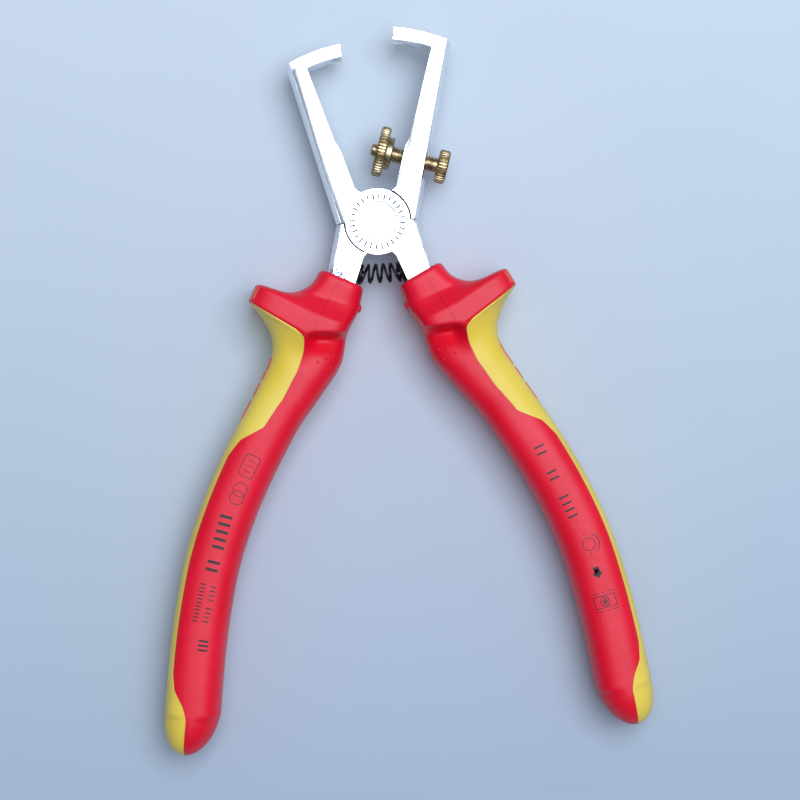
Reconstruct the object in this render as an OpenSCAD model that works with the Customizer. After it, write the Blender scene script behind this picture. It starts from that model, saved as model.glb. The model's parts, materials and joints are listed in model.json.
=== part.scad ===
// Adjustable end-type wire stripping pliers with insulated handles.
// Built about the pivot: +Y towards the jaws, +Z up, mid-plane at z = 0,
// then lifted so that the origin is under the middle of the whole tool.

/* [Head] */
// Thickness of the forged head
head_t = 8; // [7:0.5:9]
// Radius of the round lap joint
joint_r = 7.15; // [6.8:0.05:7.3]
// How far the forging draft bulges at mid-thickness
draft = 0.95; // [0.5:0.05:1.1]
// Gap between the two opening stops, and around the lap joint
stop_gap = 0.1; // [0.06:0.02:0.2]

/* [Jaws] */
// Inner radius of the left jaw, about the pivot
left_jaw_r = 36; // [35:0.5:36]
// Radial width of each jaw
jaw_w = 2.8; // [2.5:0.05:3]
// Radial gap between the two jaws
jaw_gap = 0.2; // [0.1:0.05:0.3]
// Angle from the tool's axis to each jaw tip at rest
tip_angle = 8.1; // [7.5:0.1:9]
// Depth of the cutting notch
notch_depth = 3; // [2:0.1:3.2]

/* [Pivot rivet] */
// Radius of the rivet's shank
rivet_r = 3.2; // [2.8:0.1:3.5]
// Radius of its countersunk heads
rivet_head_r = 4.2; // [4:0.1:4.5]

/* [Adjusting screw] */
// Outer radius of the screw thread
screw_r = 1.75; // [1.5:0.05:1.75]
// Radius of the knurled screw head
screw_head_r = 3.65; // [3.5:0.05:4]
// Radius of the knurled lock nut
nut_r = 5.45; // [5:0.05:5.5]
// Slope of the screw below the tool's cross axis
screw_slope = 17.7; // [16:0.1:18]

/* [Opening spring] */
// Outer radius of the coil
spring_r = 2.2; // [2:0.05:2.25]
// Radius of the spring wire
spring_wire_r = 0.3; // [0.25:0.01:0.3]
// Number of turns
spring_turns = 6.25; // [5.25:1:7.25]

/* [Grips] */
// Half width of the handle across its curve
grip_half_w = 5.9; // [5.5:0.1:6.1]
// Half thickness of the handle
grip_half_t = 7.6; // [7:0.1:8]
// Half thickness of the finger guard
guard_half_t = 10; // [9:0.1:11]
// Half width of the steel tang inside the grip
tang_half_w = 2.4; // [2:0.1:2.6]
// Wall of the inner insulating sleeve
sleeve_wall = 0.9; // [0.6:0.1:1]

/* [Hidden] */
$fn = 64;
eps = 0.01;
far = 60;
running = 0.05;

half_t = head_t / 2;
recess_r = joint_r + stop_gap;
right_jaw_r = left_jaw_r + jaw_w + jaw_gap;
right_jaw_top = (right_jaw_r + jaw_w) * cos(tip_angle);
handle_end = 111.5;
tang_half_t = 2.4;
tang_top = [[7.3, -10.3], [11.6, -18.2], [15.6, -26]];
tang_end = [45.25, -94];
tang_from = 1;
edge_land = 0.5;
cols = 8;
knife_t = 0.9;
notch_relief = 1.2;

// The head's outline, for the half with its arm at -x and its shank at +x
stop_x = 7.85;
arm_slope = 14.1;
arm_foot = [-3.7, 6.75];
arm_in_low = [-4.35, 7.4];
arm_in_step = [-6.9, 15.8];
arm_in_mid = [-8, 17.6];
arm_in_slope = 17.3;
shank_slope = 14.3;
shank_foot = [1, -7.05];
shank_root = [2.2, -6.6];
shank_step = [2.9, -6.85];
shank_in = [3.5, -7.6];
collar_in = [3.9, -13.9];
collar_out = [13, -9.4];
seat_gap = 0.02;
function on_collar(share) = collar_in + share * (collar_out - collar_in);
collar_away = (collar_out - collar_in) / norm(collar_out - collar_in);
collar_up = [-collar_away[1], collar_away[0]];
shank_in_end = on_collar(0.187) + seat_gap * collar_up;
shank_out_end = on_collar(0.72) + seat_gap * collar_up;

// The screw's place on the right arm: its axis leaves the arm's inner face here
screw_base = [6.3, 13.78];
screw_tip = -6.9;
screw_point_r = 1.4;
screw_point_end = -5.3;
screw_neck_r = 1.6;
screw_neck_from = 6.7;
screw_head = [7.65, 10];
nut_rim = [-5.7, -3.6];
nut_collar_end = -2.3;
nut_collar_r = 3.5;
chamfer = 0.3;
head_teeth = 34;
nut_teeth = 50;
spot_face_r = 3.7;
spot_face_at = 5;

// The spring's middle height, and the pegs that hold its ends
spring_y = -10.9;
peg_r = 1.1;
peg_depth = 2;
peg_length = 1.3;
face_slope = atan2(shank_in_end[0] - shank_in[0], shank_in[1] - shank_in_end[1]);
face_x = shank_in[0] + (shank_in[1] - spring_y) * tan(face_slope);

// Guard stations: inner point, ridge point, outer point, half thickness, squareness
collar_t = 7.6;
guard_rows = [
    [collar_in, [8.45, -11.65], collar_out, collar_t, 4],
    [[4.6, -16.2], [9.9, -14.1], [15.3, -12.6], collar_t + 0.3, 4],
    [[5, -18.4], [11.8, -16.8], [19.3, -13.9], collar_t, 4],
    [[7.4, -22.1], [15.8, -18.4], [26.8, -11.8], guard_half_t, 5],
    [[8.1, -23.5], [17, -23.2], [28.7, -15.3], guard_half_t, 5],
    [[8.4, -24.6], [17.1, -23.9], [28.7, -15.3], grip_half_t - 0.8, 3],
    [[8.8, -26.6], [17.3, -25.6], [26.6, -18.2], grip_half_t - 0.4, 2.6],
    [[9.2, -28.3], [17.5, -27.4], [24.6, -22], grip_half_t, 2.4],
    [[9.9, -30.2], [17.9, -29.3], [24.2, -25.2], grip_half_t, 2.4],
    [[11.5, -32.6], [18.9, -31.6], [25.1, -28.6], grip_half_t, 2.4],
    [[13.5, -35.1], [20.3, -33.9], [27, -31.9], grip_half_t, 2.4],
    [[16.3, -38.7], [22.4, -36.9], [28.4, -34.1], grip_half_t, 2.4]];
first_pad_row = 5;

// The handle's middle line, each with its half width and half thickness
handle_line = [[24.8, -39.9, 1, 1], [30.9, -50, 1, 1], [36, -60, 1, 1],
    [39.95, -70, 1, 1], [42.6, -80, 1, 1], [44.6, -90, 1, 1], [46.1, -100, 0.98, 1],
    [47.2, -105.4, 0.9, 0.94], [48, -108.7, 0.66, 0.8], [48.5, -110.6, 0.42, 0.56],
    [48.75, handle_end * -1, 0.16, 0.26]];

// Where the pad meets the red body, from 0 on the ridge line to 1 at the outer edge
pad_edge = [[24, 0], [26, 0], [27.5, 0.04], [31, 0.12], [39, 0.09], [43, 0.15], [45.5, 0.5],
    [48.5, 0.78], [95, 0.78], [99, 0.5], [103, 0.2], [112, 0.12]];

function slope_at(i) = let (a = handle_line[max(i - 1, 0)], b = handle_line[min(i + 1, 7)])
    atan2(b[0] - a[0], a[1] - b[1]);
function handle_row(i) = let (p = handle_line[i], a = slope_at(min(i, 7)),
    w = p[2] * grip_half_w, n = [cos(a), sin(a)], c = [p[0], p[1]])
    [c - w * n, c, c + w * n, p[3] * grip_half_t, 2.4];
rows = concat(guard_rows, [for (i = [0:len(handle_line) - 1]) handle_row(i)]);

function across(r, t) = t < 0 ? r[1] + (r[1] - r[0]) * t : r[1] + (r[2] - r[1]) * t;
function bulge(r, t) = max(edge_land, r[3] * pow(max(0, 1 - pow(abs(t), r[4])), 1 / r[4]));
function grip_point(r, t, side) = let (p = across(r, t)) [p[0], p[1], side * bulge(r, t)];
function pad_t(i) = lookup(-rows[i][1][1], pad_edge);

// A skin laid over some rows, between the t limits lo and hi of each row, closed below
module pillow(first, last, lo, hi, ease_in, ease_out) {
    n = last - first + 1;
    m = cols + 1;
    function ease(k) = ease_in && ease_out ? (1 - cos(180 * k)) / 2
        : ease_in ? 1 - cos(90 * k) : sin(90 * k);
    points = [for (side = [1, -1]) for (i = [0:n - 1]) for (j = [0:cols])
        grip_point(rows[first + i], lo[i] + (hi[i] - lo[i]) * ease(j / cols), side)];
    function at(side, i, j) = side * n * m + i * m + j;
    top = [for (i = [0:n - 2]) for (j = [0:cols - 1]) each [
        [at(0, i, j), at(0, i, j + 1), at(0, i + 1, j + 1)],
        [at(0, i, j), at(0, i + 1, j + 1), at(0, i + 1, j)]]];
    base = [for (i = [0:n - 2]) for (j = [0:cols - 1]) each [
        [at(1, i, j), at(1, i + 1, j + 1), at(1, i, j + 1)],
        [at(1, i, j), at(1, i + 1, j), at(1, i + 1, j + 1)]]];
    sides = [for (i = [0:n - 2]) each [
        [at(0, i, 0), at(0, i + 1, 0), at(1, i + 1, 0)],
        [at(0, i, 0), at(1, i + 1, 0), at(1, i, 0)],
        [at(0, i, cols), at(1, i + 1, cols), at(0, i + 1, cols)],
        [at(0, i, cols), at(1, i, cols), at(1, i + 1, cols)]]];
    ends = [for (j = [0:cols - 1]) each [
        [at(0, 0, j), at(1, 0, j + 1), at(0, 0, j + 1)],
        [at(0, 0, j), at(1, 0, j), at(1, 0, j + 1)],
        [at(0, n - 1, j), at(0, n - 1, j + 1), at(1, n - 1, j + 1)],
        [at(0, n - 1, j), at(1, n - 1, j + 1), at(1, n - 1, j)]]];
    polyhedron(points, concat(top, base, sides, ends), convexity = 8);
}

module place() {
    translate([0, (handle_end - right_jaw_top) / 2, guard_half_t]) children();
}

// What sits on one lever is drawn for the lever whose handle is at +x, and turned for the other
module turned_over() {
    rotate([0, 180, 0]) children();
}

module arm_outline(jaw_r) {
    top = jaw_r + jaw_w;
    out_top = [-stop_x - far * tan(arm_slope), far];
    in_top = arm_in_mid + [-far * tan(arm_in_slope), far];
    intersection() {
        circle(top, $fn = 180);
        union() {
            polygon([[-stop_x + 2, stop_gap / 2], [-stop_x, stop_gap / 2], out_top, in_top,
                arm_in_mid, arm_in_step, arm_in_low, arm_foot, [0, joint_r - 2]]);
            difference() {
                polygon([[0, 0], far * [-sin(tip_angle), cos(tip_angle)], out_top, [-stop_x, 0]]);
                circle(jaw_r, $fn = 180);
            }
        }
    }
}

module shank_outline() {
    polygon([[0, -joint_r / 2], [stop_x - 2, -stop_gap / 2], [stop_x, -stop_gap / 2],
        shank_out_end, shank_in_end, shank_in, shank_step, shank_root, shank_foot]);
}

// A triangular ridge along a side face, from a point on its line, at an angle from +Y
module draft_ridge(from, angle, length) {
    translate([from[0], from[1], 0]) rotate([0, 0, angle]) rotate([-90, 0, 0])
        linear_extrude(length) polygon([[eps, -half_t], [-draft, 0], [eps, half_t], [draft, 0]]);
}

// The V at a jaw tip: its knife edge lies at the radius cut_r, and it opens wider behind
module tip_notch(cut_r, back_r) {
    away = sign(back_r - cut_r);
    rotate([0, 0, tip_angle]) for (step = [0, 1]) {
        depth = notch_depth + step * notch_relief;
        near = cut_r + away * (step == 1 ? knife_t : -0.5);
        back = back_r + away * 0.5;
        translate([0, (near + back) / 2, 0]) rotate([90, 0, 0])
            linear_extrude(abs(near - back), center = true)
            polygon([[-depth, 0], [1, depth + 1], [1, -depth - 1]]);
    }
}

// Middle line of the tang, from the shank to its end
tang_line = concat(tang_top, [for (i = [9, 11]) (rows[i][0] + rows[i][2]) / 2],
    [for (i = [0:4]) [handle_line[i][0], handle_line[i][1]]], [tang_end]);
function tang_dir(i) = let (a = tang_line[max(i - 1, 0)],
    b = tang_line[min(i + 1, len(tang_line) - 1)], d = b - a) d / norm(d);
function tang_side(w, s) = [for (i = [0:len(tang_line) - 1]) let (d = tang_dir(i))
    tang_line[i] + s * w * [-d[1], d[0]]];

module tang_outline(w) {
    a = tang_side(w, 1);
    b = tang_side(w, -1);
    polygon(concat(a, [for (i = [len(b) - 1:-1:0]) b[i]]));
}

// Everything on the grip's side of the collar's top face, or of a line that far above it
module below_collar(lift = 0) {
    up = lift * collar_up;
    polygon([collar_in - far * collar_away + up, collar_out + far * collar_away + up,
        [2 * far, -3 * far], [-far, -3 * far]]);
}

module tang_bar(w, t, lift = 0) {
    linear_extrude(2 * t, center = true) intersection() {
        tang_outline(w);
        below_collar(lift);
    }
}

module lever_blank(jaw_r, cut_r, back_r) {
    difference() {
        union() {
            difference() {
                union() {
                    linear_extrude(head_t, center = true) arm_outline(jaw_r);
                    intersection() {
                        draft_ridge([-stop_x, 0], arm_slope, far);
                        linear_extrude(head_t, center = true) difference() {
                            circle(jaw_r + jaw_w, $fn = 180);
                            translate([-far, -far + stop_gap / 2]) square([2 * far, far]);
                        }
                    }
                    linear_extrude(head_t, center = true) shank_outline();
                    intersection() {
                        rotate([0, 0, 180]) draft_ridge([-stop_x, 0], shank_slope, far);
                        linear_extrude(head_t, center = true) difference() {
                            translate([0, -far]) square([far, far - stop_gap / 2]);
                            below_collar(seat_gap);
                        }
                    }
                }
                translate([0, 0, -half_t - 1]) cylinder(half_t + 1 + running / 2, r = recess_r);
            }
            translate([0, 0, running / 2]) cylinder(half_t - running / 2, r = joint_r);
            tang_bar(tang_half_w, tang_half_t, tang_from);
        }
        tip_notch(cut_r, back_r);
        peg_axis() translate([0, 0, -peg_depth]) cylinder(peg_depth + 1, r = peg_r + eps);
    }
}

// The spring peg's axis, square to the shank's inner face, with the face at zero
module peg_axis() {
    translate([face_x, spring_y, 0]) rotate([0, 0, face_slope]) rotate([0, -90, 0]) children();
}

module rivet_hole(gap) {
    sink = rivet_head_r - rivet_r;
    for (s = [0, 1]) mirror([0, 0, s]) {
        translate([0, 0, -eps]) cylinder(half_t + 1, r = rivet_r + gap);
        translate([0, 0, half_t - sink])
            cylinder(sink + eps, rivet_r + gap, rivet_head_r + gap + eps);
    }
}

module left_jaw_lever() {
    color("gainsboro") place() difference() {
        lever_blank(left_jaw_r, left_jaw_r + jaw_w, left_jaw_r);
        rivet_hole(2 * eps);
    }
}

module right_jaw_lever() {
    color("gainsboro") place() difference() {
        turned_over() lever_blank(right_jaw_r, right_jaw_r, right_jaw_r + jaw_w);
        rivet_hole(running);
        screw_axis() translate([0, 0, screw_tip]) cylinder(2 * screw_head[1], r = screw_r + running);
        screw_axis() translate([0, 0, spot_face_at]) cylinder(screw_head[0], r = spot_face_r);
    }
}

module pivot_rivet() {
    sink = rivet_head_r - rivet_r;
    color("silver") place() for (s = [0, 1]) mirror([0, 0, s]) {
        cylinder(half_t - sink, r = rivet_r);
        translate([0, 0, half_t - sink]) cylinder(sink, rivet_r, rivet_head_r);
    }
}

// The screw's axis: zero at the arm's inner face, positive outwards
module screw_axis() {
    translate([screw_base[0], screw_base[1], 0]) rotate([0, 0, -screw_slope]) rotate([0, 90, 0])
        children();
}

// A straight-knurled rim with flat-topped teeth and chamfered ends
module knurled_rim(r, height, teeth) {
    tooth = 0.25;
    intersection() {
        linear_extrude(height) polygon([for (i = [0:4 * teeth - 1])
            let (a = 360 * (i + 0.5) / (4 * teeth), rr = i % 4 < 2 ? r : r - tooth)
            rr * [cos(a), sin(a)]]);
        union() {
            cylinder(height / 2, r - chamfer, r - chamfer + height / 2);
            translate([0, 0, height / 2]) cylinder(height / 2, r - chamfer + height / 2, r - chamfer);
        }
    }
}

// A turned length of the screw or nut between two places on its axis
module turned(from, to, from_r, to_r) {
    translate([0, 0, from]) cylinder(to - from, from_r, to_r);
}

module adjusting_screw() {
    color("goldenrod") place() screw_axis() {
        turned(screw_tip, screw_tip + chamfer, screw_point_r - chamfer, screw_point_r);
        turned(screw_tip + chamfer, screw_point_end, screw_point_r, screw_point_r);
        turned(screw_point_end, screw_neck_from, screw_r, screw_r);
        turned(screw_neck_from, screw_head[0], screw_neck_r, screw_neck_r);
        translate([0, 0, screw_head[0]])
            knurled_rim(screw_head_r, screw_head[1] - screw_head[0], head_teeth);
    }
}

module lock_nut() {
    color("goldenrod") place() screw_axis() difference() {
        union() {
            translate([0, 0, nut_rim[0]]) knurled_rim(nut_r, nut_rim[1] - nut_rim[0], nut_teeth);
            turned(nut_rim[1], nut_collar_end - chamfer, nut_collar_r, nut_collar_r);
            turned(nut_collar_end - chamfer, nut_collar_end, nut_collar_r, nut_collar_r - chamfer);
        }
        turned(nut_rim[0] - 1, nut_collar_end + 1, screw_r + running, screw_r + running);
    }
}

// The spring bears on both shanks, so its end turns lie flat on their sloping faces
module opening_spring() {
    steps = 14;
    sides = 6;
    total = round(spring_turns * steps);
    flat = 0.75 * steps;
    mid_r = spring_r - spring_wire_r;
    wall_gap = spring_wire_r / cos(face_slope) + 0.03;
    function wall_x(y) = face_x - (y - spring_y) * tan(face_slope) - wall_gap;
    function along(i) = min(1, max(0, (i - flat) / (total - 2 * flat)));
    function centre(i) = let (a = 180 + 360 * i / steps, y = spring_y + mid_r * cos(a))
        [wall_x(y) * (2 * along(i) - 1), y, mid_r * sin(a)];
    function ring(i) = let (c = centre(i), d = centre(min(i + 1, total)) - centre(max(i - 1, 0)),
        t = d / norm(d), u0 = cross(t, [1, 0, 0]), u = u0 / norm(u0), v = cross(t, u))
        [for (k = [0:sides - 1]) c + spring_wire_r * (cos(60 * k) * u + sin(60 * k) * v)];
    points = [for (i = [0:total]) each ring(i)];
    skin = [for (i = [0:total - 1]) for (k = [0:sides - 1]) let (a = i * sides + k,
        b = i * sides + (k + 1) % sides) each [[a, a + sides, b], [b, a + sides, b + sides]]];
    caps = [for (k = [1:sides - 2]) each [[0, k, k + 1],
        [total * sides, total * sides + k + 1, total * sides + k]]];
    color("dimgray") place() polyhedron(points, concat(skin, caps), convexity = 10);
}

module spring_peg() {
    peg_axis() translate([0, 0, -peg_depth]) cylinder(peg_depth + peg_length, r = peg_r);
}

module right_spring_peg() {
    color("silver") place() spring_peg();
}

module left_spring_peg() {
    color("silver") place() turned_over() spring_peg();
}

module tang_sleeve() {
    color("gold") difference() {
        tang_bar(tang_half_w + sleeve_wall, tang_half_t + sleeve_wall);
        tang_core();
    }
}

module tang_core() {
    linear_extrude(2 * tang_half_t, center = true) tang_outline(tang_half_w);
}

module right_tang_sleeve() {
    place() tang_sleeve();
}

module left_tang_sleeve() {
    place() turned_over() tang_sleeve();
}

module grip_body() {
    last = len(rows) - 1;
    color("crimson") difference() {
        pillow(0, last, [for (i = [0:last]) -1],
            [for (i = [0:last]) i < first_pad_row ? 1 : pad_t(i)], true, true);
        sleeve_space();
    }
}

module sleeve_space() {
    linear_extrude(2 * (tang_half_t + sleeve_wall), center = true)
        tang_outline(tang_half_w + sleeve_wall);
}

module side_pad() {
    last = len(rows) - 1;
    count = last - first_pad_row;
    color("gold") difference() {
        pillow(first_pad_row, last, [for (i = [0:count]) pad_t(first_pad_row + i)],
            [for (i = [0:count]) 1], false, true);
        sleeve_space();
    }
}

module right_grip_body() {
    place() grip_body();
}

module left_grip_body() {
    place() turned_over() grip_body();
}

module right_side_pad() {
    place() side_pad();
}

module left_side_pad() {
    place() turned_over() side_pad();
}

left_jaw_lever();
right_jaw_lever();
pivot_rivet();
opening_spring();
left_spring_peg();
right_spring_peg();
adjusting_screw();
lock_nut();
left_tang_sleeve();
right_tang_sleeve();
left_grip_body();
right_grip_body();
left_side_pad();
right_side_pad();
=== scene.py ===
"""Looks of the wire stripping pliers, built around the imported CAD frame.

Points are given in millimetres in the tool's own plan: the pivot is the origin, +Y runs
towards the jaws and z is measured from the mid-plane. place() turns them into metres.
"""

import json
import math

import bmesh
import bpy
import numpy as np
from mathutils import Matrix, Vector
from mathutils.bvhtree import BVHTree


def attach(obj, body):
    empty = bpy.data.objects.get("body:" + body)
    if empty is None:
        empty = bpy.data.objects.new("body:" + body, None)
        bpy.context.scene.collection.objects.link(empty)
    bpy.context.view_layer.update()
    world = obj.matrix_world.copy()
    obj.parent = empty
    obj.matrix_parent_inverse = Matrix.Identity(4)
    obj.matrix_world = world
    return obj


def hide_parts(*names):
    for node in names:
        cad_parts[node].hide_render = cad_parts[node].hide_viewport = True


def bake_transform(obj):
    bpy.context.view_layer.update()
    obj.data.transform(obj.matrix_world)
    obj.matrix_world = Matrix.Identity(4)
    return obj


MM = 0.001
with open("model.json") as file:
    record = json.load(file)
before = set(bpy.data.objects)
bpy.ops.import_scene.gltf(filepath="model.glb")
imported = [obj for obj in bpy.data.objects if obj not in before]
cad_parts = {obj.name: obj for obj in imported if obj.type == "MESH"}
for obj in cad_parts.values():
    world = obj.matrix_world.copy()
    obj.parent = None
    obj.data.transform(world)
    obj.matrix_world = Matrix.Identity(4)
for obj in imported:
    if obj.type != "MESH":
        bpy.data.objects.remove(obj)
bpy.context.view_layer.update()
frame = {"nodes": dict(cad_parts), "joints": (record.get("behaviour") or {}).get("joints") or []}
joints = {j["name"]: j for j in frame["joints"]}
PIVOT = np.array(joints["jaw_pivot"]["pos_m"])
LEFT_JAW_HALF = "left_jaw_half"
RIGHT_JAW_HALF = "right_jaw_half"
HEAD_HALF_T = 4.0
MERGE_DISTANCE = 2e-6


def place(points):
    """Tool millimetres to row-frame metres."""
    return np.asarray(points, float) * MM + PIVOT


# ---------------------------------------------------------------- mesh helpers


def new_mesh(name, verts, faces, smooth=True):
    """A mesh object from row-frame points, without doubled or loose vertices."""
    mesh = bpy.data.meshes.new(name)
    mesh.from_pydata([tuple(map(float, v)) for v in verts], [], [tuple(map(int, f)) for f in faces])
    mesh.validate()
    bm = bmesh.new()
    bm.from_mesh(mesh)
    bmesh.ops.remove_doubles(bm, verts=bm.verts, dist=MERGE_DISTANCE)
    bmesh.ops.dissolve_degenerate(bm, edges=bm.edges, dist=1e-7)
    bmesh.ops.recalc_face_normals(bm, faces=bm.faces)
    loose = [v for v in bm.verts if not v.link_faces]
    bmesh.ops.delete(bm, geom=loose, context="VERTS")
    bm.to_mesh(mesh)
    bm.free()
    obj = bpy.data.objects.new(name, mesh)
    bpy.context.scene.collection.objects.link(obj)
    if smooth:
        mesh.shade_smooth()
    return obj


def sharpen(obj, degrees):
    """Smooth shading that stays crisp at edges steeper than the angle."""
    obj.data.shade_smooth()
    obj.data.set_sharp_from_angle(angle=math.radians(degrees))


def apply_modifiers(obj):
    """Replaces an object's mesh by its evaluated one, and clears its modifiers."""
    depsgraph = bpy.context.evaluated_depsgraph_get()
    mesh = bpy.data.meshes.new_from_object(obj.evaluated_get(depsgraph))
    obj.modifiers.clear()
    old = obj.data
    obj.data = mesh
    bpy.data.meshes.remove(old)


class Shell:
    """Collects several closed shapes into one mesh."""

    def __init__(self):
        self.verts = []
        self.faces = []

    def add(self, verts, faces):
        start = len(self.verts)
        self.verts.extend(np.asarray(verts, float).tolist())
        self.faces.extend([[start + k for k in f] for f in faces])

    def grid(self, rings, closed=True, caps=True):
        """Quads between rings of points; closed joins each ring, caps fill the ends."""
        rings = np.asarray(rings, float)
        n, m = rings.shape[:2]
        faces = []
        for i in range(n - 1):
            for j in range(m if closed else m - 1):
                k = (j + 1) % m
                faces.append([i * m + j, i * m + k, (i + 1) * m + k, (i + 1) * m + j])
        if caps:
            faces.append(list(range(m - 1, -1, -1)))
            faces.append([(n - 1) * m + j for j in range(m)])
        self.add(rings.reshape(-1, 3), faces)

    def build(self, name, smooth=True):
        return new_mesh(name, self.verts, self.faces, smooth)


# ---------------------------------------------------------------- materials


def material(name):
    """A new material, its node tree, and its Principled shader."""
    mat = bpy.data.materials.new(name)
    mat.use_nodes = True
    tree = mat.node_tree
    return mat, tree, tree.nodes["Principled BSDF"]


def add_node(tree, kind, inputs=(), **settings):
    """A node with its settings, its constant inputs, and links from any sockets among them."""
    node = tree.nodes.new(kind)
    for key, value in settings.items():
        setattr(node, key, value)
    for key, value in dict(inputs).items():
        if isinstance(value, bpy.types.NodeSocket):
            tree.links.new(value, node.inputs[key])
        else:
            node.inputs[key].default_value = value
    return node


def object_coords(tree):
    return add_node(tree, "ShaderNodeTexCoord").outputs["Object"]


def noise(tree, scale, detail=3.0, roughness=0.5, coords=None):
    inputs = {"Scale": scale, "Detail": detail, "Roughness": roughness}
    inputs["Vector"] = coords or object_coords(tree)
    return add_node(tree, "ShaderNodeTexNoise", inputs).outputs["Fac"]


def ramp(tree, fac, stops):
    """A colour ramp through (position, colour) stops."""
    node = add_node(tree, "ShaderNodeValToRGB", {"Fac": fac})
    elements = node.color_ramp.elements
    while len(elements) < len(stops):
        elements.new(0.5)
    for element, (position, colour) in zip(elements, stops):
        element.position = position
        element.color = (*colour, 1.0)
    return node.outputs["Color"]


def remap(tree, value, low, high, to_low, to_high):
    inputs = {"Value": value, "From Min": low, "From Max": high, "To Min": to_low, "To Max": to_high}
    return add_node(tree, "ShaderNodeMapRange", inputs).outputs["Result"]


def maths(tree, operation, a, b):
    return add_node(tree, "ShaderNodeMath", {0: a, 1: b}, operation=operation).outputs[0]


def bump(tree, height, strength, distance, normal=None):
    inputs = {"Height": height, "Strength": strength, "Distance": distance}
    if normal is not None:
        inputs["Normal"] = normal
    return add_node(tree, "ShaderNodeBump", inputs).outputs["Normal"]


def moulded_plastic(name, dark, light, roughness):
    """Injection-moulded plastic: slight colour drift, fine grain, faint handling scuffs."""
    mat, tree, shader = material(name)
    drift = noise(tree, 60.0, 2.0)
    colour = ramp(tree, drift, [(0.35, dark), (0.65, light)])
    tree.links.new(colour, shader.inputs["Base Color"])
    scuff = noise(tree, 900.0, 4.0, 0.65)
    tree.links.new(remap(tree, scuff, 0.35, 0.75, roughness, roughness + 0.1), shader.inputs["Roughness"])
    grain = noise(tree, 5200.0, 2.0, 0.6)
    soft = noise(tree, 320.0, 2.0)
    normal = bump(tree, grain, 0.6, 0.00008)
    normal = bump(tree, soft, 0.12, 0.0003, normal)
    tree.links.new(normal, shader.inputs["Normal"])
    shader.inputs["Specular IOR Level"].default_value = 0.42
    shader.inputs["Specular Tint"].default_value = (0.9, 0.96, 1.0, 1.0)
    return mat


WEAR_AT = (-9.2, -10.9, 4.0)
WEAR_REACH = (0.6, 3.7)


def worn_plating(tree, coords):
    """How worn the plating is: speckled at one spot above the left collar, and bright elsewhere."""
    spot = tuple(place([WEAR_AT])[0])
    away = add_node(tree, "ShaderNodeVectorMath", {0: coords, 1: spot}, operation="DISTANCE").outputs["Value"]
    near = remap(tree, away, WEAR_REACH[0] * MM, WEAR_REACH[1] * MM, 1.0, 0.0)
    speck = remap(tree, noise(tree, 4200.0, 2.0, 0.6, coords), 0.36, 0.6, 0.0, 0.8)
    return maths(tree, "MULTIPLY", near, speck)


def chromed_steel():
    """Satin chrome: fine cross-ground grain and small changes of sheen."""
    mat, tree, shader = material("chromed_steel")
    coords = object_coords(tree)
    stretched = add_node(tree, "ShaderNodeMapping", {"Vector": coords, "Scale": (1.0, 14.0, 1.0)})
    grain = noise(tree, 900.0, 3.0, 0.6, stretched.outputs["Vector"])
    cloud = noise(tree, 140.0, 3.0, 0.6, coords)
    sheen = maths(tree, "SUBTRACT", cloud, worn_plating(tree, coords))
    # Below 0.3 is the dulled plating, above it the small changes of the bright chrome
    colour = ramp(tree, sheen, [(0.0, (0.04, 0.055, 0.08)), (0.24, (0.11, 0.13, 0.16)),
                                (0.32, (0.78, 0.81, 0.84)), (0.7, (0.90, 0.91, 0.92))])
    tree.links.new(colour, shader.inputs["Base Color"])
    shader.inputs["Metallic"].default_value = 1.0
    tree.links.new(remap(tree, grain, 0.3, 0.7, 0.16, 0.26), shader.inputs["Roughness"])
    tree.links.new(bump(tree, grain, 0.06, 0.00002), shader.inputs["Normal"])
    return mat


def etched_steel_and_gap_shade():
    """The dull, dark bottom of shallow engraving; also painted shade in the gap round the rivet's edge."""
    mat, tree, shader = material("etched_steel_and_gap_shade")
    wear_and_shade_mottle = noise(tree, 2200.0, 3.0, 0.7)
    tree.links.new(ramp(tree, wear_and_shade_mottle, [(0.35, (0.10, 0.115, 0.13)), (0.7, (0.20, 0.22, 0.25))]),
                   shader.inputs["Base Color"])
    shader.inputs["Roughness"].default_value = 0.8
    shader.inputs["Specular IOR Level"].default_value = 0.15
    return mat


def painted_gap_shade():
    """Painted shade: the dark of the narrow gap between the levers at the lap joint's rim, as a flat
    material.
    """
    mat, tree, shader = material("painted_gap_shade")
    wear_and_shade_mottle = noise(tree, 1500.0, 3.0, 0.6)
    tree.links.new(ramp(tree, wear_and_shade_mottle, [(0.3, (0.010, 0.012, 0.016)), (0.8, (0.05, 0.055, 0.065))]),
                   shader.inputs["Base Color"])
    shader.inputs["Roughness"].default_value = 0.55
    shader.inputs["Specular IOR Level"].default_value = 0.2
    return mat


def brass():
    """Turned brass with tarnish in random patches."""
    mat, tree, shader = material("brass")
    cloud = noise(tree, 420.0, 4.0, 0.6)
    speck = noise(tree, 2600.0, 3.0, 0.7)
    mix = maths(tree, "ADD", maths(tree, "MULTIPLY", cloud, 0.65), maths(tree, "MULTIPLY", speck, 0.35))
    colour = ramp(tree, mix, [(0.36, (0.24, 0.16, 0.08)), (0.5, (0.55, 0.42, 0.24)),
                              (0.64, (0.84, 0.70, 0.47))])
    tree.links.new(colour, shader.inputs["Base Color"])
    shader.inputs["Metallic"].default_value = 1.0
    tree.links.new(remap(tree, speck, 0.3, 0.7, 0.24, 0.42), shader.inputs["Roughness"])
    tree.links.new(bump(tree, speck, 0.15, 0.00003), shader.inputs["Normal"])
    return mat


def black_spring():
    """Oiled black-oxide spring wire."""
    mat, tree, shader = material("spring_steel")
    speck = noise(tree, 1800.0, 3.0)
    tree.links.new(ramp(tree, speck, [(0.3, (0.006, 0.006, 0.008)), (0.7, (0.03, 0.03, 0.035))]),
                   shader.inputs["Base Color"])
    shader.inputs["Metallic"].default_value = 0.6
    tree.links.new(remap(tree, speck, 0.3, 0.7, 0.22, 0.4), shader.inputs["Roughness"])
    return mat


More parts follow.
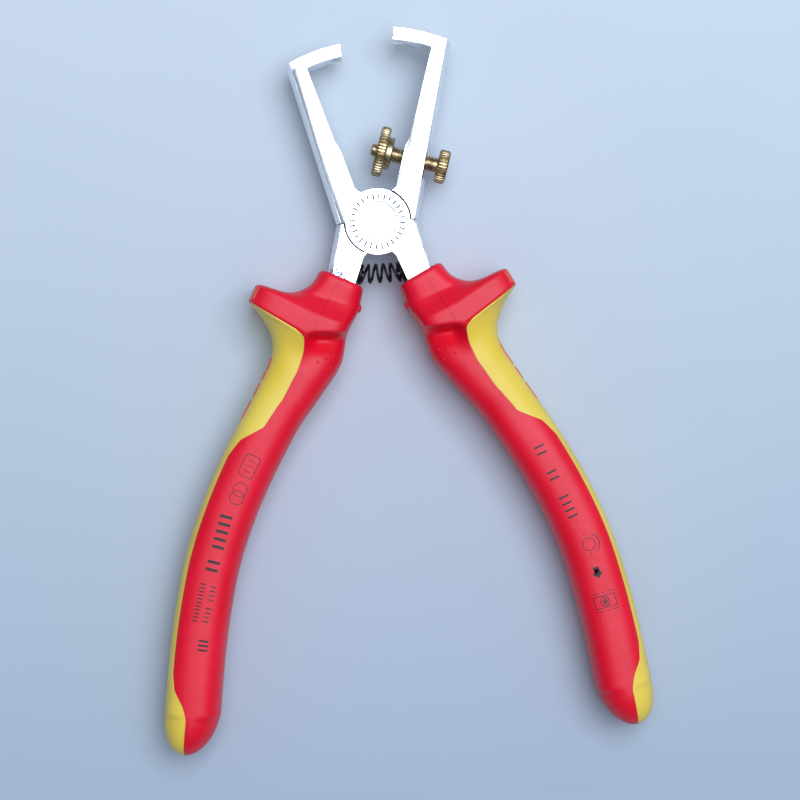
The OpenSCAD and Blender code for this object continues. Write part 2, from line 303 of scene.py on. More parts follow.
def print_ink():
    """Pad-printed black ink, slightly worn through."""
    mat, tree, shader = material("print_ink")
    wear_and_shade_mottle = noise(tree, 3000.0, 3.0, 0.7)
    tree.links.new(ramp(tree, wear_and_shade_mottle, [(0.3, (0.008, 0.006, 0.008)), (0.8, (0.03, 0.012, 0.016))]),
                   shader.inputs["Base Color"])
    tree.links.new(remap(tree, wear_and_shade_mottle, 0.3, 0.7, 0.42, 0.6), shader.inputs["Roughness"])
    return mat


STEEL = chromed_steel()
BRASS = brass()
SPRING = black_spring()
INK = print_ink()
ETCH_AND_GAP_SHADE = etched_steel_and_gap_shade()
# Painted shade of the gap at the lap joint's rim
GAP_SHADE = painted_gap_shade()
RED = moulded_plastic("red_grip", (0.88, 0.002, 0.022), (0.95, 0.006, 0.034), 0.36)
# Painted shade for the groove of the mould's parting line
RED_GROOVE_SHADE = moulded_plastic("red_groove_painted_shade", (0.16, 0.002, 0.008), (0.22, 0.003, 0.012), 0.5)
YELLOW = moulded_plastic("yellow_insulation", (0.95, 0.66, 0.07), (0.99, 0.75, 0.12), 0.36)
PALE_YELLOW = moulded_plastic("yellow_edge", (0.85, 0.62, 0.22), (0.92, 0.70, 0.30), 0.4)


def dress(obj, mat, slot, body, *nodes):
    """Gives a finished piece its material and body, and hides the CAD nodes that it stands for; slot is not
    used.
    """
    obj.data.materials.clear()
    obj.data.materials.append(mat)
    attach(obj, body)
    if nodes:
        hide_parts(*nodes)
    return obj


# ---------------------------------------------------------------- grips

# Rows across the guard, from the collar to the waist: inner, ridge and outer point, half
# thickness on the inner and outer side, and squareness of the section
GUARD = [
    ((3.9, -13.9), (8.45, -11.65), (13.0, -9.4), 7.5, 7.5, 4.0),
    ((4.25, -15.2), (9.3, -13.0), (14.1, -11.3), 7.6, 7.6, 4.0),
    ((4.7, -16.7), (10.3, -14.6), (15.6, -12.8), 7.5, 7.5, 4.0),
    ((5.0, -18.2), (11.4, -16.1), (18.6, -13.9), 7.4, 7.4, 4.0),
    ((5.9, -19.9), (13.1, -17.0), (21.8, -13.5), 8.2, 8.3, 4.5),
    ((7.4, -22.1), (15.6, -18.6), (26.8, -11.8), 10.0, 10.0, 6.0),
    ((8.0, -23.3), (17.0, -23.2), (28.7, -15.3), 10.0, 10.0, 6.0),
    ((8.3, -24.1), (17.15, -23.8), (28.5, -15.8), 5.3, 9.5, 3.2),
    ((8.8, -26.4), (17.35, -25.6), (26.6, -18.2), 5.9, 8.6, 2.9),
    ((9.2, -28.3), (17.6, -27.4), (24.7, -22.0), 7.0, 7.9, 2.9),
    ((9.9, -30.2), (18.1, -29.3), (24.2, -25.2), 7.4, 7.6, 3.0),
    ((11.5, -32.6), (19.0, -31.6), (25.1, -28.6), 7.6, 7.6, 3.0),
    ((13.5, -35.1), (20.4, -33.9), (27.0, -31.9), 7.6, 7.6, 3.0),
    ((16.3, -38.7), (22.4, -36.9), (28.4, -34.3), 7.6, 7.6, 3.0),
]
SEAM_ROW = 6
CREASED_ROWS = 7
# Where a row's numbers are, once it is laid out flat
INNER = slice(0, 2)
RIDGE = slice(2, 4)
OUTER = slice(4, 6)
SECTION = slice(6, 9)
HANDLE_LINE = [(24.8, -39.9), (30.9, -50.0), (36.0, -60.0), (39.95, -70.0), (42.6, -80.0),
               (44.6, -90.0), (46.1, -100.0)]
GRIP_HALF_W = 5.95
GRIP_HALF_T = 7.6
GRIP_SQUARE = 3.0
END_START = (46.4, -102.2)
END_POINT = (48.75, -111.5)
END_STEPS = 12
END_SQUARE = 2.3
END_ROUNDNESS = 2.4
# Where the yellow pad meets the red body, by the ridge line's distance below the pivot:
# 0 is the ridge line, 1 is the outer edge
PAD_EDGE = [(23.2, 0.2), (23.6, 0.07), (24.2, 0.015), (26.0, 0.01), (29.0, 0.09), (33.0, 0.13),
            (39.0, 0.09), (42.5, 0.15), (44.5, 0.40), (46.5, 0.66), (50.0, 0.80), (60.0, 0.79),
            (94.0, 0.78), (97.5, 0.68), (100.5, 0.38), (103.5, 0.2), (112.0, 0.12)]
ROW_STEP = 0.33
RED_COLUMNS = 34
PAD_COLUMNS = 22
SEAM_DEPTH = 0.22
# How many rows the easing blurs, how wide the step between the two thicknesses is, and how
# soft the plan's bend at the ridge line is
EASE_ROWS = 1.3
THICKNESS_STEP = 0.38
RIDGE_SOFTNESS = 0.006


def catmull(values, k):
    """Catmull-Rom value at a fractional index."""
    values = np.asarray(values, float)
    i = int(min(max(math.floor(k), 0), len(values) - 2))
    f = k - i
    a, b = values[max(i - 1, 0)], values[i]
    c, d = values[i + 1], values[min(i + 2, len(values) - 1)]
    return 0.5 * (2 * b + (c - a) * f + (2 * a - 5 * b + 4 * c - d) * f**2 + (3 * b - a - 3 * c + d) * f**3)


def handle_rows():
    """Rows square to the handle's middle line, then an elliptical end."""
    rows = []
    line = np.array(HANDLE_LINE + [END_START])
    for i in range(len(line)):
        along = line[min(i + 1, len(line) - 1)] - line[max(i - 1, 0)]
        along = along / np.linalg.norm(along)
        side = np.array([-along[1], along[0]])
        rows.append((line[i] - side * GRIP_HALF_W, line[i], line[i] + side * GRIP_HALF_W,
                     GRIP_HALF_T, GRIP_HALF_T, GRIP_SQUARE))
    start, end = np.array(END_START), np.array(END_POINT)
    for k in range(1, END_STEPS + 1):
        share = math.sin(0.5 * math.pi * k / END_STEPS)
        width = GRIP_HALF_W * max(math.sqrt(1 - share**2), 0.02)
        height = GRIP_HALF_T * max((1 - share**END_ROUNDNESS) ** (1 / END_ROUNDNESS), 0.03)
        centre = start + (end - start) * share
        rows.append((centre - side * width, centre, centre + side * width, height, height, END_SQUARE))
    return rows


def row_table():
    """Every row as numbers, resampled evenly along the ridge line, and where each given row is.

    The rows curve smoothly into each other, except that the guard's thickness and its inner
    side run straight between rows, and so does everything beside the seam.
    """
    rows = GUARD + handle_rows()
    table = np.array([np.concatenate([np.ravel(p) for p in r]) for r in rows])
    ridge = table[:, RIDGE]
    length = np.concatenate([[0], np.cumsum(np.linalg.norm(np.diff(ridge, axis=0), axis=1))])
    steps, marks = [], []
    for i in range(len(rows) - 1):
        count = max(2, int(round((length[i + 1] - length[i]) / ROW_STEP)))
        marks.append(len(steps))
        for k in range(count):
            straight = table[i] + (table[i + 1] - table[i]) * (k / count)
            row = catmull(table, i + k / count)
            if i < CREASED_ROWS:
                for part in (INNER, RIDGE, SECTION):
                    row[part] = straight[part]
            if i in (SEAM_ROW - 1, SEAM_ROW):
                row = straight
            steps.append(row)
    marks.append(len(steps))
    steps.append(table[-1])
    return np.array(steps), marks


def eased(table):
    """Gaussian easing along the rows; the first and last rows stay."""
    reach = int(3 * EASE_ROWS) + 1
    kernel = np.exp(-0.5 * (np.arange(-reach, reach + 1) / EASE_ROWS) ** 2)
    kernel /= kernel.sum()
    before = 2 * table[:1] - table[reach:0:-1]
    after = 2 * table[-1:] - table[-2:-reach - 2:-1]
    padded = np.concatenate([before, table, after])
    return np.array([np.convolve(column, kernel, mode="valid") for column in padded.T]).T


def grip_grid():
    """The grip's upper surface as a grid of points, and the row where the yellow pad begins."""
    table, marks = row_table()
    seam_row, end_row = marks[SEAM_ROW], marks[-END_STEPS - 1]
    table[:end_row] = eased(table)[:end_row]
    grid = np.zeros((len(table), RED_COLUMNS + PAD_COLUMNS + 1, 3))
    red_steps = -np.cos(np.linspace(0, math.pi, RED_COLUMNS + 1)) * 0.5 + 0.5
    pad_steps = -np.cos(np.linspace(0, math.pi, PAD_COLUMNS + 1)) * 0.5 + 0.5
    below = np.array([p[0] for p in PAD_EDGE])
    share = np.array([p[1] for p in PAD_EDGE])
    for i, row in enumerate(table):
        inner, ridge, outer = row[INNER], row[RIDGE], row[OUTER]
        low, high, square = row[SECTION]
        edge = float(np.interp(-ridge[1], below, share)) if i >= seam_row else 0.0
        t = np.concatenate([-1 + (edge + 1) * red_steps, edge + (1 - edge) * pad_steps[1:]])
        blend = np.clip(t / THICKNESS_STEP + 1, 0, 1)
        height = low + (high - low) * blend * blend * (3 - 2 * blend)
        z = height * np.clip(1 - np.abs(t) ** square, 0, None) ** (1 / square)
        z[[0, -1]] = 0.0
        soft = np.sqrt(t * t + RIDGE_SOFTNESS) - math.sqrt(RIDGE_SOFTNESS)
        plan_inner = ridge + np.outer(np.where(t < 0, soft, 0), inner - ridge) / soft[0]
        plan_outer = np.outer(np.where(t >= 0, soft, 0), outer - ridge) / soft[-1]
        grid[i, :, :2] = plan_inner + plan_outer
        grid[i, :, 2] = z
    return grid, seam_row


COLLAR_INSETS = (0.55, 0.16, 0.03)
COLLAR_HALF_T = 8.0


def rounded_collar(grid):
    """Rounds the collar's rim by drawing its first rows in."""
    for i, inset in enumerate(COLLAR_INSETS):
        centre = np.array([*(grid[i, 0, :2] + grid[i, -1, :2]) / 2, 0])
        span = np.linalg.norm(grid[i, 0, :2] - grid[i, -1, :2]) / 2
        grid[i, :, :2] = centre[:2] + (grid[i, :, :2] - centre[:2]) * (1 - inset / span)
        grid[i, :, 2] *= 1 - inset / COLLAR_HALF_T
    return grid


def masked_solid(shell, grid, cells, flip):
    """A closed solid under the marked cells of a grid and over their mirror image."""
    n, m = grid.shape[:2]
    side = -1.0 if flip else 1.0
    mirror = np.array([side, 1, 1])
    top = grid * mirror
    under = top * np.array([1, 1, -1])
    verts = np.concatenate([top.reshape(-1, 3), under.reshape(-1, 3)])
    faces = []

    def both(a, b):
        """The wall below the edge from a to b, unless it lies on the silhouette."""
        if grid[a][2] > 0 or grid[b][2] > 0:
            ka, kb = a[0] * m + a[1], b[0] * m + b[1]
            faces.append([ka, kb, n * m + kb, n * m + ka])

    for i in range(n - 1):
        for j in range(m - 1):
            if not cells[i, j]:
                continue
            quad = [i * m + j, i * m + j + 1, (i + 1) * m + j + 1, (i + 1) * m + j]
            faces.append(quad)
            faces.append([n * m + k for k in reversed(quad)])
            if i == 0 or not cells[i - 1, j]:
                both((i, j), (i, j + 1))
            if i == n - 2 or not cells[i + 1, j]:
                both((i + 1, j + 1), (i + 1, j))
            if j == 0 or not cells[i, j - 1]:
                both((i + 1, j), (i, j))
            if j == m - 2 or not cells[i, j + 1]:
                both((i, j + 1), (i + 1, j + 1))
    shell.add(place(verts), faces)


# Shares of a dome's radius and height, from below the surface up to its crown
DOME_PROFILE = [(1.0, -0.6), (1.0, 0.0), (0.92, 0.45), (0.7, 0.78), (0.4, 0.95), (0.12, 1.0)]
DOME_SIDES = 12


def dome(shell, centre, radius, height, normal, flip):
    """A low raised dot on the surface."""
    normal = Vector(normal).normalized()
    turn = normal.to_track_quat("Z", "Y").to_matrix()
    rings = []
    for r, h in DOME_PROFILE:
        ring = []
        for a in np.linspace(0, 2 * math.pi, DOME_SIDES, endpoint=False):
            p = turn @ Vector((r * radius * math.cos(a), r * radius * math.sin(a), h * height))
            p = Vector(centre) + p
            ring.append((-p.x if flip else p.x, p.y, p.z))
        rings.append(place(ring))
    shell.grid(rings)


GRID, SEAM = grip_grid()
GRID = rounded_collar(GRID)


def lowered_seam():
    """The grid with its seam line pressed in, for the two colours to meet in a groove."""
    grid = GRID.copy()
    grid[SEAM:, RED_COLUMNS, 2] -= SEAM_DEPTH
    grid[SEAM, RED_COLUMNS:-1, 2] -= SEAM_DEPTH
    grid[:, :, 2] = np.clip(grid[:, :, 2], 0, None)
    return grid


def surface_tree():
    """A look-up tree of the right grip's upper surface, in tool millimetres."""
    n, m = GRID.shape[:2]
    faces = [(i * m + j, i * m + j + 1, (i + 1) * m + j + 1, (i + 1) * m + j)
             for i in range(n - 1) for j in range(m - 1)]
    return BVHTree.FromPolygons([tuple(p) for p in GRID.reshape(-1, 3)], faces)


SURFACE = surface_tree()


def on_grip(x, y):
    """Height and normal of the right grip's top at a plan point."""
    hit, normal, _, _ = SURFACE.ray_cast(Vector((x, y, 30)), Vector((0, 0, -1)))
    if hit is None:
        return 0.0, Vector((0, 0, 1))
    return hit.z, (normal if normal.z > 0 else -normal)


THUMB_DOTS = [(14.7, -29.2), (12.9, -28.6), (11.1, -28.2), (12.0, -30.5), (13.9, -31.2)]
THUMB_DOT_R = 0.38
THUMB_DOT_HEIGHT = 0.22
THUMB_DOT_SINK = 0.02
SIDE_BUMP = (5.0, -18.3)
SIDE_BUMP_HEIGHTS = (-2.7, 0.0, 2.7)
SIDE_BUMP_NORMAL = (-0.95, -0.3, 0)
CREASE_ANGLE = 50


def make_grip(flip, name, body):
    """The red body and the yellow pad of one handle; flip makes the left one."""
    grid = lowered_seam()
    n, m = grid.shape[:2]
    red = np.zeros((n - 1, m - 1), bool)
    red[:, :RED_COLUMNS] = True
    red[:SEAM, :] = True
    shell = Shell()
    masked_solid(shell, grid, red, flip)
    for x, y in THUMB_DOTS:
        z, normal = on_grip(x, y)
        for up in (1, -1):
            foot = (x, y, up * (z - THUMB_DOT_SINK))
            dome(shell, foot, THUMB_DOT_R, THUMB_DOT_HEIGHT, (normal.x, normal.y, up * normal.z), flip)
    for z in SIDE_BUMP_HEIGHTS:
        dome(shell, (*SIDE_BUMP, z), 0.75, 0.35, SIDE_BUMP_NORMAL, flip)
    grip = shell.build(name + "_grip_body")
    sharpen(grip, CREASE_ANGLE)
    dress(grip, RED, "red_grip", body, name + "_grip_body")
    shell = Shell()
    masked_solid(shell, grid, ~red, flip)
    pad = shell.build(name + "_side_pad")
    sharpen(pad, CREASE_ANGLE)
    dress(pad, YELLOW, "yellow_insulation", body, name + "_side_pad")


make_grip(False, "right", LEFT_JAW_HALF)
make_grip(True, "left", RIGHT_JAW_HALF)


# ---------------------------------------------------------------- marks on the grips

# How often a slab follows the surface, and how far its top and its underside are from it
STEP = 0.6
LIFT = 0.025
SINK = 0.05


class Stamp:
    """Lays thin slabs on the right grip's top from plan points; flip lays them on the left's."""

    def __init__(self, flip):
        self.shell = Shell()
        self.flip = flip

    def lay(self, corners):
        """A thin slab over a plan quadrilateral, following the surface."""
        a, b, c, d = (np.array(p, float) for p in corners)
        n = max(1, int(math.ceil(max(np.linalg.norm(b - a), np.linalg.norm(c - d)) / STEP)))
        m = max(1, int(math.ceil(np.linalg.norm(d - a) / STEP)))
        top, low = [], []
        for j in range(m + 1):
            for i in range(n + 1):
                u, v = i / n, j / m
                x, y = (1 - v) * ((1 - u) * a + u * b) + v * ((1 - u) * d + u * c)
                z, normal = on_grip(x, y)
                for side, shift in ((top, LIFT), (low, -SINK)):
                    px = x + normal.x * shift
                    side.append((-px if self.flip else px, y + normal.y * shift, z + normal.z * shift))
        k = n + 1
        count = k * (m + 1)
        faces = []
        for j in range(m):
            for i in range(n):
                quad = [j * k + i, j * k + i + 1, (j + 1) * k + i + 1, (j + 1) * k + i]
                faces += [quad, [count + q for q in reversed(quad)]]
        rim = list(range(n)) + [j * k + n for j in range(m)]
        rim += [m * k + n - i for i in range(n)] + [(m - j) * k for j in range(m)]
        for p, q in zip(rim, rim[1:] + rim[:1]):
            faces.append([q, p, count + p, count + q])
        self.shell.add(place(top + low), faces)

    def line(self, points, width, closed=False):
        """A run of slabs along a polyline, each reaching half a width past its corners."""
        points = [np.array(p, float) for p in points]
        for a, b in zip(points, points[1:] + points[:1] if closed else points[1:]):
            along = (b - a) / np.linalg.norm(b - a)
            side = np.array([-along[1], along[0]]) * width / 2
            start, end = a - along * width / 2, b + along * width / 2
            self.lay((start - side, end - side, end + side, start + side))

    def build(self, name, mat, slot, body):
        obj = self.shell.build(name)
        sharpen(obj, 40)
        dress(obj, mat, slot, body)


def framed(at, angle):
    """Plan points of a stamp's own (along, across) points, turned by an angle about its place."""
    c, s = math.cos(math.radians(angle)), math.sin(math.radians(angle))

    def to_plan(*points):
        return [(at[0] + c * u - s * v, at[1] + s * u + c * v) for u, v in points]

    return to_plan


def arc(radius, start, end, steps):
    """Points on a circle about (0, 0), between two angles in degrees."""
    angles = np.radians(np.linspace(start, end, steps))
    return [(radius * math.cos(a), radius * math.sin(a)) for a in angles]


def bars(stamp, start, end, count, length, width, skip=()):
    """Plain bars set across a line, where the original has lettering."""
    start, end = np.array(start), np.array(end)
    along = (end - start) / np.linalg.norm(end - start)
    side = np.array([-along[1], along[0]]) * length / 2
    for k in range(count):
        if k not in skip:
            middle = start + (end - start) * k / (count - 1)
            stamp.line([middle - side, middle + side], width)


FINE = 0.15


def left_marks():
    """A plain frame, two plain rings, and four rows of plain bars down the left handle."""
    stamp = Stamp(True)
    plan = framed((30.6, -50.3), -60)
    stamp.line(plan((-2.0, -1.6), (2.0, -1.6), (2.4, -1.2), (2.4, 1.2), (2.0, 1.6), (-2.0, 1.6),
                    (-2.4, 1.2), (-2.4, -1.2)), FINE, True)
    for u in (-1.2, 0.0, 1.2):
        stamp.line(plan((u, -0.7), (u, 0.7)), 0.16)
    plan = framed((33.3, -56.0), -63)
    for shift in (-0.9, 0.9):
        stamp.line(plan(*[(x + shift, y) for x, y in arc(1.5, 0, 345, 24)]), FINE, True)
    bars(stamp, (36.2, -60.7), (40.0, -71.7), 8, 2.0, 0.62, (5,))
    bars(stamp, (39.9, -75.4), (42.0, -82.6), 9, 0.9, 0.26, (4,))
    bars(stamp, (42.0, -74.6), (44.3, -82.2), 11, 0.9, 0.26)
    bars(stamp, (42.7, -86.7), (43.1, -88.6), 3, 1.7, 0.42)
    stamp.build("left_print", INK, None, RIGHT_JAW_HALF)


def right_marks():
    """Groups of plain bars, a ring with a plain arc, an arrow and a framed ring down the right handle."""
    stamp = Stamp(False)
    bars(stamp, (31.0, -50.2), (37.3, -65.4), 12, 1.75, 0.42, (2, 3, 6, 7))
    plan = framed((40.3, -71.6), -73)
    stamp.line(plan(*arc(1.35, 0, 350, 28)), FINE, True)
    stamp.line(plan(*arc(2.25, 35, 145, 12)), 0.17)
    stamp.line(plan((-2.5, -0.3), (-1.9, -0.3)), 0.14)
    stamp.line(plan((1.9, -0.3), (2.6, -0.3)), 0.14)
    plan = framed((41.6, -77.5), -76)
    for k in range(5):
        low, high = -1.0 + k * 0.4, -0.6 + k * 0.4
        stamp.lay(plan((low, -0.62), (high, -0.62), (high, 0.62), (low, 0.62)))
    stamp.lay(plan((0.3, -1.25), (1.5, -0.05), (1.5, 0.05), (0.3, 1.25)))
    plan = framed((43.0, -84.0), -78)
    stamp.line(plan((-1.3, -2.3), (1.3, -2.3), (1.3, 2.3), (-1.3, 2.3)), FINE, True)
    stamp.line(plan(*arc(0.95, 0, 345, 20)), 0.2, True)
    stamp.line(plan(*arc(0.35, 0, 330, 10)), 0.3, True)
    for u in (-2.0, 2.0):
        for v in (-1.7, 1.7):
            stamp.line(plan((u, v - 0.6), (u, v + 0.6)), 0.16)
        stamp.line(plan((u, -0.2), (u, 0.2)), 0.14)
    stamp.build("right_print", INK, None, LEFT_JAW_HALF)


PARTING_LINE = [(9.0, -12.3), (10.1, -13.8), (11.4, -15.9), (12.6, -17.9), (13.9, -20.4), (15.3, -23.0)]
TIP_LINE = [(26.9, -12.4), (27.9, -13.9), (28.4, -15.0)]
TIP_INSETS = (0.45, 1.05)
HAIRLINE = 0.06


def flange_marks(flip, name, body):
    """The mould's parting line, darkened with painted shade of its groove, and the two pale lines at the
    guard's tip.
    """
    seam = Stamp(flip)
    # The parting line is real; its dark colour is painted shade of its groove
    seam.line(PARTING_LINE, HAIRLINE)
    seam.build(name + "_parting_line", RED_GROOVE_SHADE, "red_grip", body)
    tip = Stamp(flip)
    for inset in TIP_INSETS:
        tip.line([(x - inset, y) for x, y in TIP_LINE], HAIRLINE)
    tip.build(name + "_tip_lines", PALE_YELLOW, "yellow_insulation", body)


INLAY_SPANS = [(30.5, 34.0), (34.6, 38.4), (39.0, 42.6)]
INLAY_COLUMNS = 4
INLAY_LIFT = 0.09


def inlays(flip, name, body):
    """Plain red bars let into the pad's outer side, wrapping round it."""
    shell = Shell()
    rows = -GRID[:, RED_COLUMNS, 1]
    side = -1.0 if flip else 1.0
    for low, high in INLAY_SPANS:
        rings = []
        for i in (i for i in range(SEAM, len(GRID)) if low <= rows[i] <= high):
            top = GRID[i, -INLAY_COLUMNS:]
            over = np.concatenate([top, top[-2::-1] * (1, 1, -1)])
            middle = np.array([*GRID[i, RED_COLUMNS, :2], 0.0])
            out = (over - middle) / np.linalg.norm(over - middle, axis=1)[:, None]
            ring = np.concatenate([over + out * INLAY_LIFT, (over - out * INLAY_LIFT)[::-1]])
            rings.append(place(ring * (side, 1, 1)))
        shell.grid(rings)
    inlay = shell.build(name + "_inlay_bars")
    sharpen(inlay, 40)
    dress(inlay, RED, "red_grip", body)


left_marks()
right_marks()
for flipped, hand, half in ((False, "right", LEFT_JAW_HALF), (True, "left", RIGHT_JAW_HALF)):
    flange_marks(flipped, hand, half)
    inlays(flipped, hand, half)


# ---------------------------------------------------------------- head


# CAD part, name of its copy, how far its edges are eased, material, slot and body
REFINED_PARTS = [
    ("left_jaw_lever", "left_lever", 0.12, STEEL, "chromed_steel", LEFT_JAW_HALF),
    ("right_jaw_lever", "right_lever", 0.12, STEEL, "chromed_steel", RIGHT_JAW_HALF),
    ("pivot_rivet", "rivet", 0.06, STEEL, "chromed_steel", LEFT_JAW_HALF),
    ("right_spring_peg", "right_peg", 0.12, SPRING, "spring_steel", LEFT_JAW_HALF),
    ("left_spring_peg", "left_peg", 0.12, SPRING, "spring_steel", RIGHT_JAW_HALF),
]
FLAT_ANGLE = 0.6
EDGE_ANGLE = 24


def refined(node, name, width):
    """A copy of a CAD part with its edges eased, as tumbling and plating leave them."""
    source = frame["nodes"][node]
    bm = bmesh.new()
    bm.from_mesh(source.data)
    bmesh.ops.remove_doubles(bm, verts=bm.verts, dist=MERGE_DISTANCE)
    bmesh.ops.dissolve_limit(bm, angle_limit=math.radians(FLAT_ANGLE), verts=bm.verts, edges=bm.edges)
    mesh = bpy.data.meshes.new(name)
    bm.to_mesh(mesh)
    bm.free()
    obj = bpy.data.objects.new(name, mesh)
    bpy.context.scene.collection.objects.link(obj)
    bevel = obj.modifiers.new("ease", "BEVEL")
    bevel.width = width * MM
    bevel.segments = 2
    bevel.limit_method = "ANGLE"
    bevel.angle_limit = math.radians(EDGE_ANGLE)
    bevel.use_clamp_overlap = False
    bevel.harden_normals = False
    apply_modifiers(obj)
    sharpen(obj, EDGE_ANGLE)
    return obj


def dress_sleeves():
    """The tang sleeves stay as CAD made them, inside the grips, in the yellow material."""
    for sleeve in ("left_tang_sleeve", "right_tang_sleeve"):
        materials = frame["nodes"][sleeve].data.materials
        materials.clear()
        materials.append(YELLOW)


TICKS = 28
TICK_SPAN = (4.75, 6.05)
SHORT_TICK_SPAN = (5.0, 5.95)
SHORT_TICK_EVERY = 4
TICK_HALF_WIDTH = 0.19
TICK_LIFT = 0.008
# Painted shade of the gap round the rivet: its span of radius and its turn
RIVET_GAP_SHADE = (4.08, 4.3)
RIVET_GAP_SHADE_TURN = (0.0, 357.0)
MARK_SINK = 0.03
FACE_UP = (1, 1, 1)
FACE_DOWN = (-1, 1, -1)


def flat_ring(shell, span, turn, step, lift, facing=FACE_UP):
    """A thin closed band on the head's face, over a span of radius and a turn in degrees."""
    inner, outer = span
    rings = []
    for a in np.radians(np.arange(turn[0], turn[1] + 1, step)):
        out = np.array([math.cos(a), math.sin(a), 0.0])
        corners = [(inner, -MARK_SINK), (outer, -MARK_SINK), (outer, lift), (inner, lift)]
        ring = np.array([out * r + np.array([0, 0, HEAD_HALF_T + h]) for r, h in corners])
        rings.append(place(ring * facing))
    shell.grid(rings)


def head_ticks():
    """A ring of plain etched ticks on the upper face of the lap joint, and a band of painted shade in the gap
    round the rivet's edge.
    """
    shell = Shell()
    # Painted shade of the gap round the rivet's edge
    flat_ring(shell, RIVET_GAP_SHADE, RIVET_GAP_SHADE_TURN, 3, 0.007)
    for k in range(TICKS):
        angle = 2 * math.pi * (k + 0.5) / TICKS
        out = np.array([math.cos(angle), math.sin(angle), 0.0])
        side = np.array([-out[1], out[0], 0.0]) * TICK_HALF_WIDTH
        inner, outer = TICK_SPAN if k % SHORT_TICK_EVERY else SHORT_TICK_SPAN
        ring = np.array([inner * out - side, inner * out + side, outer * out + side, outer * out - side])
        shell.grid([place(ring + np.array([0, 0, HEAD_HALF_T + h])) for h in (-MARK_SINK, TICK_LIFT)])
    ticks = shell.build("head_ticks", smooth=False)
    dress(ticks, ETCH_AND_GAP_SHADE, "chromed_steel", LEFT_JAW_HALF)


# Painted shade of the gap at the lap joint's rim: its span of radius, and the turns where it runs
RIM_GAP_SHADE = (6.91, 7.17)
RIM_TURNS = [(0.0, 62.0), (180.0, 242.0)]


def rim_lines(name, facing, body):
    """The dark line at the rim of the lap joint, where it runs beside the other lever: painted shade of the
    gap between the levers.
    """
    shell = Shell()
    for turn in RIM_TURNS:
        flat_ring(shell, RIM_GAP_SHADE, turn, 2, 0.006, facing)
    dress(shell.build(name, smooth=False), GAP_SHADE, None, body)


for part, copy, ease, look, part_slot, half in REFINED_PARTS:
    dress(refined(part, copy, ease), look, part_slot, half, part)
dress_sleeves()
head_ticks()
rim_lines("left_rim_lines", FACE_UP, LEFT_JAW_HALF)
rim_lines("right_rim_lines", FACE_DOWN, RIGHT_JAW_HALF)


# ---------------------------------------------------------------- opening spring

SPRING_Y = -10.9
SPRING_R = 1.9
WIRE_R = 0.3
SPRING_TURNS = 6.25
SPRING_FACE_X = 4.77
SPRING_FACE_SLOPE = math.radians(21.0)
SPRING_STEPS = 40
FLAT_TURNS = 0.75
SPRING_GAP = 0.03
WIRE_SIDES = 14


def make_spring():
    """A coil whose end turns lie flat on the shanks' sloping inner faces."""
    total = int(SPRING_TURNS * SPRING_STEPS)
    flat = FLAT_TURNS * SPRING_STEPS
    gap = WIRE_R / math.cos(SPRING_FACE_SLOPE) + SPRING_GAP
    centres = []
    for i in range(total + 1):
        angle = math.pi + 2 * math.pi * i / SPRING_STEPS
        share = min(1.0, max(0.0, (i - flat) / (total - 2 * flat)))
        y = SPRING_Y + SPRING_R * math.cos(angle)
        wall = SPRING_FACE_X - (y - SPRING_Y) * math.tan(SPRING_FACE_SLOPE) - gap
        centres.append((wall * (2 * share - 1), y, SPRING_R * math.sin(angle)))
    centres = np.array(centres)
    ahead = np.gradient(centres, axis=0)
    ahead /= np.linalg.norm(ahead, axis=1)[:, None]
    rings = []
    for centre, along in zip(centres, ahead):
        u = np.cross(along, (1.0, 0.0, 0.0))
        u /= np.linalg.norm(u)
        v = np.cross(along, u)
        turn = np.linspace(0, 2 * math.pi, WIRE_SIDES, endpoint=False)[:, None]
        rings.append(place(centre + WIRE_R * (np.cos(turn) * u + np.sin(turn) * v)))
    shell = Shell()
    shell.grid(rings)
    spring = shell.build("opening_coil")
    sharpen(spring, 40)
    spring.data.materials.append(SPRING)
    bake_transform(spring)
    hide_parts("opening_spring")


make_spring()


# ---------------------------------------------------------------- adjusting screw and lock nut

SCREW_BASE = (6.3, 13.78)
SCREW_SLOPE = math.radians(17.7)
SCREW_TIP = -6.9
SCREW_POINT_R = 1.4
SCREW_POINT_END = -5.3
SCREW_NECK_R = 1.58
SCREW_NECK_FROM = 6.7
THREAD_R = 1.75
THREAD_DEPTH = 0.32
THREAD_PITCH = 0.6
THREAD_STEP = 0.06
THREAD_SIDES = 40
HEAD_SPAN = (7.65, 10.0)
HEAD_R = 3.65
HEAD_TEETH = 34
RIM_SPAN = (-5.7, -3.6)
RIM_R = 5.45
RIM_TEETH = 50
COLLAR_R = 3.5
COLLAR_END = -2.3
KNURL_CHAMFER = 0.35
KNURL_DEPTH = 0.26
KNURL_STEPS = 10
KNURL_CREASE = 38
NUT_CLEARANCE = 0.05
NUT_CHAMFER = 0.25
NUT_MOUTH = 0.3
SCREW_AXIS = np.array([math.cos(SCREW_SLOPE), -math.sin(SCREW_SLOPE), 0.0])
SCREW_UP = np.array([math.sin(SCREW_SLOPE), math.cos(SCREW_SLOPE), 0.0])
SCREW_SIDE = np.array([0.0, 0.0, 1.0])


def about_screw(s, r, angle):
    """A point at s along the screw's axis, and r from it at an angle."""
    base = np.array([*SCREW_BASE, 0.0])
    return base + s * SCREW_AXIS + r * (math.cos(angle) * SCREW_UP + math.sin(angle) * SCREW_SIDE)


def turned_rings(profile, steps, radius_at=None):
    """Rings about the screw's axis for a profile of (s, r) pairs."""
    angles = np.linspace(0, 2 * math.pi, steps, endpoint=False)
    rings = []
    for s, r in profile:
        rings.append(place([about_screw(s, radius_at(s, r, a) if radius_at else r, a) for a in angles]))
    return rings


